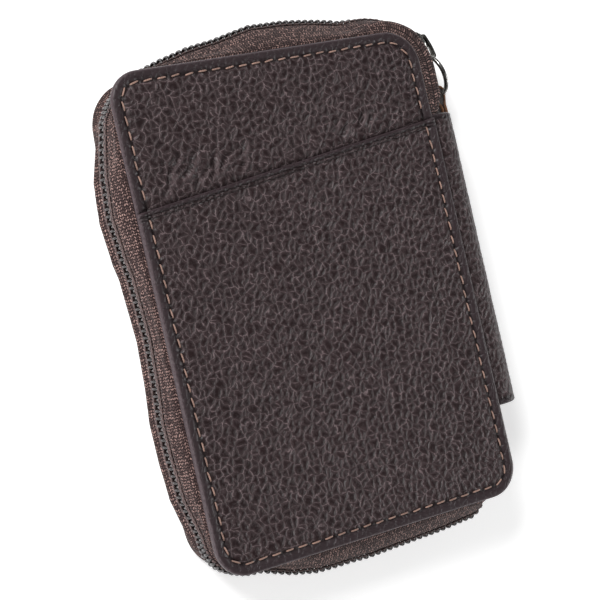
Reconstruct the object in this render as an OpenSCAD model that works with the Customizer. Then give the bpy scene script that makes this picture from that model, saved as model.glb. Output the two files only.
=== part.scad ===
// Zip-around leather card wallet.
// Frame: the closed wallet lies on its back cover. Origin at the centre of the
// back cover's outer face, +Z up through the thickness, +Y towards the top edge,
// +X towards the spine. Millimetres.

/* [Covers] */
// Width of each leather cover, across the wallet
cover_w = 76; // [72:1:84]
// Height of each leather cover, along the spine
cover_h = 110; // [106:1:116]
// Corner radius of the covers
cover_r = 9; // [7:0.5:11]
// Thickness of the cover leather
cover_t = 1.2; // [1:0.1:1.2]
// Distance of the stitch line from the cover's edge
stitch_inset = 2.5; // [2.2:0.1:3]
// Distance from one stitch to the next
stitch_pitch = 3.2; // [2.8:0.1:4]

/* [Front pocket] */
// Height of the pocket's mouth above the middle, on the zip side
mouth_left = 24.7; // [10:0.1:30]
// Height of the pocket's mouth above the middle, on the spine side
mouth_right = 33.6; // [15:0.1:36]
// Thickness of the pocket leather
pocket_t = 0.8; // [0.6:0.1:0.8]

/* [Zip] */
// How far the zip stands out to the left of the middle
zip_left = 42.2; // [41.8:0.1:42.6]
// How far the zip stands out towards the spine
zip_right = 42.8; // [42.4:0.1:43]
// How far the zip stands out at the top
zip_top = 59.5; // [59:0.1:60]
// How far the zip stands out at the bottom
zip_bottom = 59; // [58.6:0.1:59.5]
// Corner radius of the zip's run
zip_r = 14; // [13.5:0.1:14]
// Height of the parting line of the zip
zip_mid = 8.6; // [8.6:0.1:8.6]

/* [Spine] */
// Upper end of the spine wrap
spine_top = 34.5; // [30:0.5:34.5]
// Lower end of the spine wrap
spine_bottom = -33.5; // [-33.5:0.5:-30]

/* [Slider] */
// Where the slider sits on the corner, as an angle from the spine side
slider_angle = 22; // [22:1:26]
// Diameter of the pull ring, to the middle of its wire
ring_d = 10; // [9:0.5:10.5]
// Diameter of the ring's wire
wire_d = 1.1; // [0.9:0.1:1.2]
// Length of the leather pull tab
tab_len = 22; // [16:1:24]

/* [Hidden] */
$fn = 64;
eps = 0.01;
hw = cover_w / 2;
hh = cover_h / 2;
// front half mirrors the back half about the zip's parting line
zf = 2 * zip_mid;
front_cover_z = 16;
front_field_z = front_cover_z + cover_t;
front_face_z = front_field_z + pocket_t;
// corner centres of the zip's run
cr = zip_right - zip_r;
cl = -zip_left + zip_r;
ct = zip_top - zip_r;
cb = -zip_bottom + zip_r;
zip_start = spine_top + 0.7;
zip_end = spine_bottom - 0.7;
// tape section, as (distance outside the zip's run, height)
tape_profile = [[-5.6, 1.3], [-3.4, 1.3], [-1.2, 2.4], [-0.2, 4.2], [0, 6.2],
    [-0.8, 6.2], [-1, 4.5], [-1.9, 3.2], [-3.7, 2.1], [-5.6, 2.1]];
coil_profile = [[-1.5, 6.2], [0.3, 6.2], [0.7, 6.7], [0.7, 8.1], [0.4, 8.55], [-1.2, 8.55], [-1.5, 8.1]];
function mirrored(p) = [for (i = [len(p) - 1:-1:0]) [p[i][0], zf - p[i][1]]];

leather = [0.2, 0.165, 0.17];
lining = [0.16, 0.13, 0.13];
tape_c = [0.3, 0.22, 0.22];
coil_c = [0.11, 0.09, 0.1];
thread_c = [0.62, 0.47, 0.42];
metal_c = [0.28, 0.28, 0.27];
board_c = [0.55, 0.5, 0.42];

// ---- outlines ----
module outline(inset = 0) {
    w = hw - inset;
    h = hh - inset;
    r = cover_r - inset;
    union() {
        translate([-w + r, -h]) square([2 * (w - r), 2 * h]);
        translate([-w, -h + r]) square([2 * w, 2 * (h - r)]);
        for (sx = [-1, 1], sy = [-1, 1]) translate([sx * (w - r), sy * (h - r)]) circle(r = r);
    }
}

// a flat panel of the covers' outline, set in from their edge
module panel(z, t, inset = 0) translate([0, 0, z]) linear_extrude(t) outline(inset);

// sunk line that the perimeter stitching lies in
module stitch_groove(z, t) translate([0, 0, z]) linear_extrude(t) difference() {
    outline(stitch_inset - 0.45);
    outline(stitch_inset + 0.45);
}

// everything below the slanted mouth line of the front pocket
module below_mouth(z, t) {
    m = (mouth_right - mouth_left) / cover_w;
    translate([0, 0, z]) linear_extrude(t)
        polygon([[-60, -80], [60, -80], [60, mouth_left + m * (60 + hw)], [-60, mouth_left + m * (-60 + hw)]]);
}

// ---- a section carried along the zip's run ----
module corner_run(c, a, sweep, p) translate([c[0], c[1], 0]) rotate([0, 0, a])
    rotate_extrude(angle = sweep, $fn = 96) polygon([for (q = p) [zip_r + q[0], q[1]]]);
module straight_run(c, a, from, to, p) translate([c[0], c[1], 0]) rotate([0, 0, a])
    translate([0, to, 0]) rotate([90, 0, 0]) linear_extrude(to - from)
        polygon([for (q = p) [zip_r + q[0], q[1]]]);

// whole run apart from the slider's corner
module long_run(p, start_gap = 0, end_gap = 0) {
    straight_run([cr, ct], 90, 0, cr - cl, p);
    corner_run([cl, ct], 90, 90, p);
    straight_run([cl, ct], 180, 0, ct - cb, p);
    corner_run([cl, cb], 180, 90, p);
    straight_run([cl, cb], 270, 0, cr - cl, p);
    corner_run([cr, cb], 270, 90, p);
    straight_run([cr, cb], 0, 0, zip_end - end_gap - cb, p);
}
module start_run(p, start_gap = 0) straight_run([cr, ct], 0, zip_start + start_gap - ct, 0, p);

// ---- perimeter stitches ----
// point and heading at distance s round a rounded outline of half sizes w, h
function arc_pt(c, r, a) = [c[0] + r * cos(a), c[1] + r * sin(a), a + 90];
function walk(s, w, h, r) =
    let (a = 2 * (h - r), b = 2 * (w - r), q = r * 90 * PI / 180)
    s < a ? [w, -h + r + s, 90] :
    s < a + q ? arc_pt([w - r, h - r], r, (s - a) / q * 90) :
    s < a + q + b ? [w - r - (s - a - q), h, 180] :
    s < a + 2 * q + b ? arc_pt([-w + r, h - r], r, 90 + (s - a - q - b) / q * 90) :
    s < 2 * a + 2 * q + b ? [-w, h - r - (s - a - 2 * q - b), 270] :
    s < 2 * a + 3 * q + b ? arc_pt([-w + r, -h + r], r, 180 + (s - 2 * a - 2 * q - b) / q * 90) :
    s < 2 * a + 3 * q + 2 * b ? [-w + r + (s - 2 * a - 3 * q - b), -h, 0] :
    arc_pt([w - r, -h + r], r, 270 + (s - 2 * a - 3 * q - 2 * b) / q * 90);
function mouth_y(x) = mouth_left + (mouth_right - mouth_left) * (x + hw) / cover_w;

module stitches(front) {
    w = hw - stitch_inset;
    h = hh - stitch_inset;
    r = cover_r - stitch_inset;
    total = 4 * (w - r) + 4 * (h - r) + 2 * PI * r;
    n = floor(total / stitch_pitch);
    for (i = [0:n - 1]) let (p = walk((i + 0.5) * total / n, w, h, r), d = p[1] - mouth_y(p[0]))
        if (!front || abs(d) > 1.5)
            translate([p[0], p[1], !front ? 0.05 : d < 0 ? front_face_z - 0.45 : front_field_z - 0.45])
                rotate([0, 0, p[2] + 6]) translate([-1.1, -0.25, 0]) cube([2.2, 0.5, 0.4]);
}

// ---- back half ----
module back_cover() color(leather) difference() {
    panel(0, cover_t);
    stitch_groove(-eps, 0.45 + eps);
}
module back_stiffener() color(board_c) panel(cover_t, 0.9, 4.6);
module back_lining() color(lining) panel(2.1, 0.6, 1);
module back_zip_tape() color(tape_c) union() {
    long_run(tape_profile);
    corner_run([cr, ct], 0, 90, tape_profile);
    start_run(tape_profile);
}
module back_zip_coil() color(coil_c) union() {
    long_run(coil_profile, 0, 2.6);
}
module back_stitching() color(thread_c) stitches(false);

// a card slot leaf: open at the top, closed on three sides by its sewn rim
module card_slot(z, h) translate([-31, -48, z]) difference() {
    cube([62, h, 1.3]);
    translate([2.5, 2.5, -eps]) cube([57, h, 0.8 + eps]);
}
module card_slot_rear() color(leather) card_slot(2.7, 84);
module card_slot_middle() color(leather) card_slot(4, 72);
module card_slot_front() color(leather) card_slot(5.3, 60);

module spine_margin_back() color(leather)
    translate([hw + 0.3, spine_bottom, 0.3]) cube([43.6 - hw - 0.3, spine_top - spine_bottom, 1.1]);

module zip_top_stop_back() color(metal_c) translate([zip_right - 1.6, zip_start, 6.2]) cube([2.4, 1.6, 2.3]);
module zip_bottom_stop() color(metal_c) translate([zip_right - 1.8, zip_end - 2.2, 6.2]) cube([2.7, 2.2, 4.4]);

// ---- spine ----
// shallow outward bow between the two fold lines
module bow(x_out, t, z0, z1, y0, y1) {
    r = 30;
    translate([0, y1, 0]) rotate([90, 0, 0]) linear_extrude(y1 - y0) intersection() {
        translate([x_out - r, 9]) difference() {
            circle(r = r, $fn = 128);
            circle(r = r - t, $fn = 128);
        }
        translate([40, z0]) square([10, z1 - z0]);
    }
}
module spine_cover() color(leather) bow(45.8, 1.1, 2.4, 15.6, spine_bottom, spine_top);
module spine_lining() color(lining) bow(44.6, 0.5, 3, 15, spine_bottom + 1, spine_top - 1);

// ---- front half ----
module front_cover() color(leather) difference() {
    panel(front_cover_z, cover_t);
    difference() {
        stitch_groove(front_field_z - 0.45, 1);
        below_mouth(front_cover_z - 1, 5);
    }
}
module front_pocket() color(leather) difference() {
    intersection() {
        panel(front_field_z, pocket_t);
        below_mouth(front_field_z - 1, 5);
    }
    translate([0, 0, front_field_z - 1]) linear_extrude(1.2) intersection() {
        outline(3.4);
        translate([-60, -80]) square([120, 200]);
    }
    stitch_groove(front_face_z - 0.45, 1);
    // the mouth stays open across the whole width between the side seams
    translate([-hw + 3.4, mouth_left - 4, front_field_z - 1]) cube([cover_w - 6.8, 30, 1.2]);
}
module front_stitching() color(thread_c) stitches(true);
module front_stiffener() color(board_c) panel(15.1, 0.9, 4.6);
module front_lining() color(lining) panel(14.5, 0.6, 1);
module front_slip_pocket() color(leather) translate([-33, -50, 13.2]) difference() {
    cube([66, 70, 1.3]);
    translate([2.5, 2.5, 0.5]) cube([61, 70, 0.8 + eps]);
}
module front_zip_tape() color(tape_c) {
    p = mirrored(tape_profile);
    union() {
        long_run(p);
        start_run(p);
        intersection() {
            corner_run([cr, ct], 0, 90, p);
            translate([0, 0, 13.6]) cube([80, 80, 10]);
        }
    }
}
module front_zip_coil() color(coil_c) union() {
    long_run(mirrored(coil_profile), 0, 2.6);
}
module zip_top_stop_front() color(metal_c) translate([zip_right - 1.6, zip_start, zf - 8.5]) cube([2.4, 1.6, 2.3]);
module spine_margin_front() color(leather)
    translate([hw + 0.3, spine_bottom, 16.6]) cube([43.6 - hw - 0.3, spine_top - spine_bottom, 1.1]);

// ---- slider, running round the top corner on the spine side ----
// an arc-shaped block: radii r0..r1, heights z0..z1, angles a0..a1
module arc_block(r0, r1, z0, z1, a0, a1) translate([cr, ct, 0]) rotate([0, 0, a0])
    rotate_extrude(angle = a1 - a0, $fn = 128) translate([r0, z0]) square([r1 - r0, z1 - z0]);

module slider_body() color(metal_c) union() {
    a = slider_angle;
    // inner and outer plates, each with a narrower tail
    for (r = [11, 15]) {
        arc_block(r, r + 1.2, zip_mid - 4.1, zip_mid + 4.1, a - 4, a + 16);
        arc_block(r, r + 1.2, zip_mid - 3.4, zip_mid + 3.4, a - 16, a - 3);
    }
    // guide flanges beside the tape slits
    for (s = [-1, 1]) {
        zc = zip_mid + s * 3.75;
        arc_block(12, 12.9, zc - 0.3, zc + 0.3, a - 3, a + 10);
        arc_block(14.3, 15.2, zc - 0.3, zc + 0.3, a - 3, a + 10);
    }
    // post between the two plates, at the end that parts the coils
    arc_block(12, 15.2, zip_mid - 1, zip_mid + 1, a + 9, a + 15.5);
}
// raised bail on the outer plate that holds the ring
bridge_r = 17.25;
module slider_bridge() color(metal_c) union() {
    a = slider_angle;
    arc_block(16.2, 19.2, zip_mid - 1, zip_mid + 1, a - 16, a - 14);
    arc_block(16.2, 19.2, zip_mid - 1, zip_mid + 1, a + 8, a + 11);
    arc_block(18.3, 19.2, zip_mid - 1, zip_mid + 1, a - 16, a + 11);
}

// ---- ring and tab ----
ring_a = slider_angle - 9.5;
ring_root = [cr + bridge_r * cos(ring_a), ct + bridge_r * sin(ring_a), zip_mid];
ring_out = 16;
ring_droop = 24;
ring_r = ring_d / 2;
// the ring's own frame: +X away from the bridge, +Y across it, its axis +Z
module at_ring() translate(ring_root) rotate([0, 0, -90 + ring_out]) rotate([0, ring_droop, 0]) rotate([90, 0, 0]) children();
module pull_ring() color(metal_c) at_ring() translate([ring_r, 0, 0])
    rotate_extrude($fn = 96) translate([ring_r, 0]) circle(d = wire_d, $fn = 32);

// far end of the ring
ring_end = [ring_root[0] + ring_d * cos(ring_droop) * sin(ring_out),
    ring_root[1] - ring_d * cos(ring_droop) * cos(ring_out), zip_mid - ring_d * sin(ring_droop)];
// the tab's frame: origin on the ring's wire, +X down the tab, +Z through its width
module at_tab() translate(ring_end) rotate([0, 0, -93]) children();
module pull_tab() color(leather) at_tab() difference() {
    union() {
        translate([0, 0, -1.1]) cylinder(r = 2, h = 2.2, $fn = 48);
        translate([0.4, -1, -1.1]) cube([3, 2, 2.2]);
        translate([2.6, 1, 0]) rotate([90, 0, 0]) linear_extrude(2)
            polygon([[0, -1.1], [2, -2.6], [tab_len - 3.6, -2.9], [tab_len - 2.6, -2], [tab_len - 2.6, 1.6],
                [tab_len - 3.6, 2.6], [2, 2.4], [0, 1.1]]);
    }
    cylinder(r = 1.35, h = 8, center = true, $fn = 48);
}
module pull_tab_stitching() color(thread_c) at_tab()
    for (i = [0:4], s = [-1, 1]) translate([5.2 + i * 3.2, s > 0 ? 1 : -1.25, -0.25]) cube([2.1, 0.25, 0.5]);

back_cover();
back_stiffener();
back_lining();
back_zip_tape();
back_zip_coil();
back_stitching();
card_slot_rear();
card_slot_middle();
card_slot_front();
spine_margin_back();
zip_top_stop_back();
zip_bottom_stop();
spine_cover();
spine_lining();
front_cover();
front_pocket();
front_stitching();
front_stiffener();
front_lining();
front_slip_pocket();
front_zip_tape();
front_zip_coil();
zip_top_stop_front();
spine_margin_front();
slider_body();
slider_bridge();
pull_ring();
pull_tab();
pull_tab_stitching();
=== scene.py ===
import bpy, bmesh, math, random
import numpy as np
from mathutils import Vector, Matrix, noise


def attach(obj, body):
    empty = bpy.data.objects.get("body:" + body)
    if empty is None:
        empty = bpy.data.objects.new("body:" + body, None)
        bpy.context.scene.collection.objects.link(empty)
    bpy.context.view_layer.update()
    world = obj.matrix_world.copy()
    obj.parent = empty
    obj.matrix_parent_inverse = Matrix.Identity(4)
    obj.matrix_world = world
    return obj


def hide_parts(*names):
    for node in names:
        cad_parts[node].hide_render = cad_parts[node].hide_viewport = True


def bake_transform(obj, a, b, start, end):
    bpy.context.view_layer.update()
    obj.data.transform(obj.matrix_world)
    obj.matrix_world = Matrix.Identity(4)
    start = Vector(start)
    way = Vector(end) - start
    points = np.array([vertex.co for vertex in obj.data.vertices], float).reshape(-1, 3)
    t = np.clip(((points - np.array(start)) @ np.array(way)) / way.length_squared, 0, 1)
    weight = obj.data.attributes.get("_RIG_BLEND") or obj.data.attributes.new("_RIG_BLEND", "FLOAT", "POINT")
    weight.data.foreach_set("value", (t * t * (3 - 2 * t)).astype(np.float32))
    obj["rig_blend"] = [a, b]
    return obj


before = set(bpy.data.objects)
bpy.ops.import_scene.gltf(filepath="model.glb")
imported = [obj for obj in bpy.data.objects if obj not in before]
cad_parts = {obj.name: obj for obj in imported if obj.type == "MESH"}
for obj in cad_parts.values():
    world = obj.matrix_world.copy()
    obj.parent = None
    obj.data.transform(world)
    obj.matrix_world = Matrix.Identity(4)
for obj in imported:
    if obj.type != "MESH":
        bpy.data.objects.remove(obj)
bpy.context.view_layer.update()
MM = 0.001

# ---------------------------------------------------------------- sizes, mm
HW, HH, R = 38.0, 55.0, (8.2, 7.0, 7.0, 7.0)
FIELD_Z, FACE_Z = 17.2, 18.0
ZR = 14.0
XL, XR, YT, YB = -42.2, 42.8, 59.5, -59.0
ZMID = 8.6
ZF = 2 * ZMID
SPINE_T, SPINE_B = 34.5, -33.5
M_L, M_R = 24.7, 33.6
PITCH = 3.2


def mouth_y(x):
    return M_L + (M_R - M_L) * (x + HW) / (2 * HW)


# ---------------------------------------------------------------- mesh helpers
def sm(x, a, b):
    t = max(0.0, min(1.0, (x - a) / (b - a)))
    return t * t * (3 - 2 * t)


def add_object(name, verts, faces, attrs=None, smooth=True):
    me = bpy.data.meshes.new(name)
    me.from_pydata([tuple(v) for v in np.asarray(verts, float) * MM], [], [tuple(int(i) for i in f) for f in faces])
    me.update()
    for k, v in (attrs or {}).items():
        v = np.asarray(v, float)
        if v.ndim == 1:
            me.attributes.new(k, "FLOAT", "POINT").data.foreach_set("value", v.astype(np.float32))
        else:
            me.attributes.new(k, "FLOAT_VECTOR", "POINT").data.foreach_set("vector", v.astype(np.float32).ravel())
    me.polygons.foreach_set("use_smooth", [smooth] * len(me.polygons))
    o = bpy.data.objects.new(name, me)
    bpy.context.scene.collection.objects.link(o)
    return o


def outward(o):
    bm = bmesh.new()
    bm.from_mesh(o.data)
    bmesh.ops.recalc_face_normals(bm, faces=bm.faces)
    bm.to_mesh(o.data)
    bm.free()
    return o


def noise3(x, y, z=0.0, scale=1.0, seed=0.0):
    return noise.noise(Vector((x * scale + seed * 13.7, y * scale - seed * 7.3, z * scale + seed * 3.1)))


def radii(r):
    return tuple(r) if isinstance(r, (tuple, list)) else (r, r, r, r)


def rounded(w, h, r, ns=(170, 118, 12)):
    """Points round a rectangle of half sizes w, h with corner radii r (top spine side, top zip side, then on round)."""
    r0, r1, r2, r3 = radii(r)
    nl, nshort, nc = ns
    pts = []

    def line(x0, y0, x1, y1, n):
        for t in np.arange(n) / n:
            pts.append((x0 + (x1 - x0) * t, y0 + (y1 - y0) * t))

    def arc(cx, cy, rr, a0):
        for t in np.arange(nc) / nc:
            a = math.pi / 2 * (a0 + t)
            pts.append((cx + rr * math.cos(a), cy + rr * math.sin(a)))
    line(w, -h + r3, w, h - r0, nl)
    arc(w - r0, h - r0, r0, 0)
    line(w - r0, h, -w + r1, h, nshort)
    arc(-w + r1, h - r1, r1, 1)
    line(-w, h - r1, -w, -h + r2, nl)
    arc(-w + r2, -h + r2, r2, 2)
    line(-w + r2, -h, w - r3, -h, nshort)
    arc(w - r3, -h + r3, r3, 3)
    return np.array(pts)


def panel(name, w, h, r, profile, z_of, ns=(170, 118, 12), floor_z=None, sub=0.8):
    """A closed rounded panel. profile: (inset, drop) from the edge inwards over the border; z_of(x, y, inset) adds to it."""
    rings, insets = [], []
    last = profile[-1][0]
    ins = [p for p in profile]
    d = last + sub
    inner = w - 0.7
    while d < inner:
        ins.append((d, profile[-1][1]))
        d += sub
    ins.append((inner, profile[-1][1]))
    verts, border = [], []
    n = None
    for d, drop in ins:
        rr = tuple(max(q - d, min(0.8, (w - d) * 0.9)) for q in radii(r))
        p = rounded(w - d, h - d, rr, ns)
        n = len(p)
        for x, y in p:
            verts.append((x, y, z_of(x, y, d) + drop))
            border.append(d)
    faces = []
    k = len(ins)
    for i in range(k - 1):
        a, b = i * n, (i + 1) * n
        for j in range(n):
            j2 = (j + 1) % n
            faces.append((a + j, a + j2, b + j2, b + j))
    faces.append([(k - 1) * n + j for j in range(n)])
    # underside
    low = floor_z
    base = len(verts)
    p0 = rounded(w - 0.12, h - 0.12, tuple(q - 0.12 for q in radii(r)), ns)
    for x, y in p0:
        verts.append((x, y, low + 0.1)); border.append(0.1)
    p1 = rounded(w - 0.5, h - 0.5, tuple(q - 0.5 for q in radii(r)), ns)
    for x, y in p1:
        verts.append((x, y, low)); border.append(0.5)
    for j in range(n):
        j2 = (j + 1) % n
        faces.append((base + j, base + j2, j2, j))
        faces.append((base + n + j, base + n + j2, base + j2, base + j))
    faces.append([base + n + j for j in reversed(range(n))])
    return np.array(verts), faces, np.array(border)


def mat_new(name):
    m = bpy.data.materials.new(name)
    m.use_nodes = True
    nt = m.node_tree
    for n in list(nt.nodes):
        nt.nodes.remove(n)
    out = nt.nodes.new("ShaderNodeOutputMaterial")
    b = nt.nodes.new("ShaderNodeBsdfPrincipled")
    nt.links.new(b.outputs[0], out.inputs[0])
    return m, nt, b


class G:
    """Small helper that strings shader nodes together."""

    def __init__(self, nt):
        self.nt = nt

    def node(self, kind, **props):
        n = self.nt.nodes.new(kind)
        for k, v in props.items():
            setattr(n, k, v)
        return n

    def put(self, sock, v):
        if hasattr(v, "is_output") or isinstance(v, bpy.types.NodeSocket):
            self.nt.links.new(v, sock)
        else:
            sock.default_value = v

    def coords(self, scale=1000.0):
        tc = self.node("ShaderNodeTexCoord")
        mp = self.node("ShaderNodeMapping")
        mp.inputs["Scale"].default_value = (scale,) * 3 if not isinstance(scale, tuple) else scale
        self.nt.links.new(tc.outputs["Object"], mp.inputs[0])
        return mp.outputs[0]

    def attr(self, name, out="Fac"):
        a = self.node("ShaderNodeAttribute")
        a.attribute_name = name
        return a.outputs[out]

    def math(self, op, a, b=None, c=None, clamp=False):
        n = self.node("ShaderNodeMath", operation=op, use_clamp=clamp)
        self.put(n.inputs[0], a)
        if b is not None:
            self.put(n.inputs[1], b)
        if c is not None:
            self.put(n.inputs[2], c)
        return n.outputs[0]

    def vmath(self, op, a, b=None, scale=None):
        n = self.node("ShaderNodeVectorMath", operation=op)
        self.put(n.inputs[0], a)
        if b is not None:
            self.put(n.inputs[1], b)
        if scale is not None:
            n.inputs["Scale"].default_value = scale
        return n.outputs[0]

    def ramp(self, v, lo, hi, a=0.0, b=1.0, smooth=True):
        n = self.node("ShaderNodeMapRange")
        n.interpolation_type = "SMOOTHSTEP" if smooth else "LINEAR"
        self.put(n.inputs[0], v)
        n.inputs[1].default_value = lo
        n.inputs[2].default_value = hi
        n.inputs[3].default_value = a
        n.inputs[4].default_value = b
        return n.outputs[0]

    def noise(self, co, scale, detail=3.0, rough=0.55, out=0, dist=0.0):
        n = self.node("ShaderNodeTexNoise")
        self.put(n.inputs["Vector"], co)
        n.inputs["Scale"].default_value = scale
        n.inputs["Detail"].default_value = detail
        n.inputs["Roughness"].default_value = rough
        n.inputs["Distortion"].default_value = dist
        return n.outputs[out]

    def voronoi(self, co, scale, feature="F1", out="Distance", rnd=1.0, smooth=None):
        n = self.node("ShaderNodeTexVoronoi", feature=feature)
        self.put(n.inputs["Vector"], co)
        n.inputs["Scale"].default_value = scale
        n.inputs["Randomness"].default_value = rnd
        if smooth is not None and "Smoothness" in n.inputs:
            n.inputs["Smoothness"].default_value = smooth
        return n.outputs[out]

    def mix(self, f, a, b, mode="MIX"):
        n = self.node("ShaderNodeMix", data_type="RGBA", blend_type=mode)
        self.put(n.inputs[0], f)
        for i, v in ((6, a), (7, b)):
            if isinstance(v, tuple):
                n.inputs[i].default_value = v if len(v) == 4 else (*v, 1.0)
            else:
                self.nt.links.new(v, n.inputs[i])
        return n.outputs[2]

    def bump(self, h, strength=0.5, dist=0.1, normal=None):
        n = self.node("ShaderNodeBump")
        n.inputs["Strength"].default_value = strength
        n.inputs["Distance"].default_value = dist
        self.put(n.inputs["Height"], h)
        if normal is not None:
            self.nt.links.new(normal, n.inputs["Normal"])
        return n.outputs[0]


def set_in(b, **kw):
    for k, v in kw.items():
        k = k.replace("_", " ")
        if k in b.inputs:
            b.inputs[k].default_value = v


# ---------------------------------------------------------------- leather
PEB = 1.62


def grain_nodes(g, co):
    """The hide's grain, the same cells for the relief of the mesh and for the surface: creases, fine cracks, cell number."""
    nt = g.nt
    warp = g.node("ShaderNodeTexNoise")
    nt.links.new(co, warp.inputs["Vector"])
    warp.inputs["Scale"].default_value = 0.42
    warp.inputs["Detail"].default_value = 3.0
    wv = g.vmath("SUBTRACT", warp.outputs["Color"], (0.5, 0.5, 0.5))
    wv = g.vmath("SCALE", wv, scale=2.6)
    p = g.vmath("ADD", co, wv)
    p = g.vmath("MULTIPLY", p, (1.0, 0.88, 1.0))

    def vor(scale, feature, out, rnd):
        n = g.node("ShaderNodeTexVoronoi", feature=feature, voronoi_dimensions="2D")
        nt.links.new(p, n.inputs["Vector"])
        n.inputs["Scale"].default_value = scale
        n.inputs["Randomness"].default_value = rnd
        return n.outputs[out]
    edge = vor(1.0 / PEB, "DISTANCE_TO_EDGE", "Distance", 0.95)
    cell = vor(1.0 / PEB, "F1", "Color", 0.95)
    fine = vor(2.2 / PEB, "DISTANCE_TO_EDGE", "Distance", 1.0)
    return edge, cell, fine


def pebble(o, amp=0.13):
    """Raises the grain as real relief, along the surface's normal, wherever the leather is not pressed smooth."""
    ng = bpy.data.node_groups.new("grain", "GeometryNodeTree")
    ng.interface.new_socket("Geometry", in_out="INPUT", socket_type="NodeSocketGeometry")
    ng.interface.new_socket("Geometry", in_out="OUTPUT", socket_type="NodeSocketGeometry")
    g = G(ng)
    i, q = g.node("NodeGroupInput"), g.node("NodeGroupOutput")
    pc = g.node("GeometryNodeInputNamedAttribute", data_type="FLOAT_VECTOR")
    pc.inputs["Name"].default_value = "pc"
    ins = g.node("GeometryNodeInputNamedAttribute", data_type="FLOAT")
    ins.inputs["Name"].default_value = "inset"
    co = pc.outputs["Attribute"]
    edge, cell, fine = grain_nodes(g, co)
    h = g.ramp(edge, 0.02, 0.40)
    h = g.math("ADD", h, g.math("MULTIPLY", g.noise(co, 0.8, 2.0), 0.35))
    h = g.math("SUBTRACT", h, 0.85)
    h = g.math("MULTIPLY", h, g.ramp(ins.outputs["Attribute"], 0.5, 3.2, 0.12, 1.0))
    nrm = g.node("GeometryNodeInputNormal")
    off = g.node("ShaderNodeVectorMath", operation="SCALE")
    ng.links.new(nrm.outputs[0], off.inputs[0])
    ng.links.new(g.math("MULTIPLY", h, amp * MM), off.inputs["Scale"])
    sp = g.node("GeometryNodeSetPosition")
    ng.links.new(i.outputs[0], sp.inputs["Geometry"])
    ng.links.new(off.outputs[0], sp.inputs["Offset"])
    ng.links.new(sp.outputs[0], q.inputs[0])
    mod = o.modifiers.new("grain", "NODES")
    mod.node_group = ng
    dg = bpy.context.evaluated_depsgraph_get()
    me = bpy.data.meshes.new_from_object(o.evaluated_get(dg), preserve_all_data_layers=True, depsgraph=dg)
    o.modifiers.clear()
    old = o.data
    o.data = me
    bpy.data.meshes.remove(old)
    bpy.data.node_groups.remove(ng)
    return o


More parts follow.
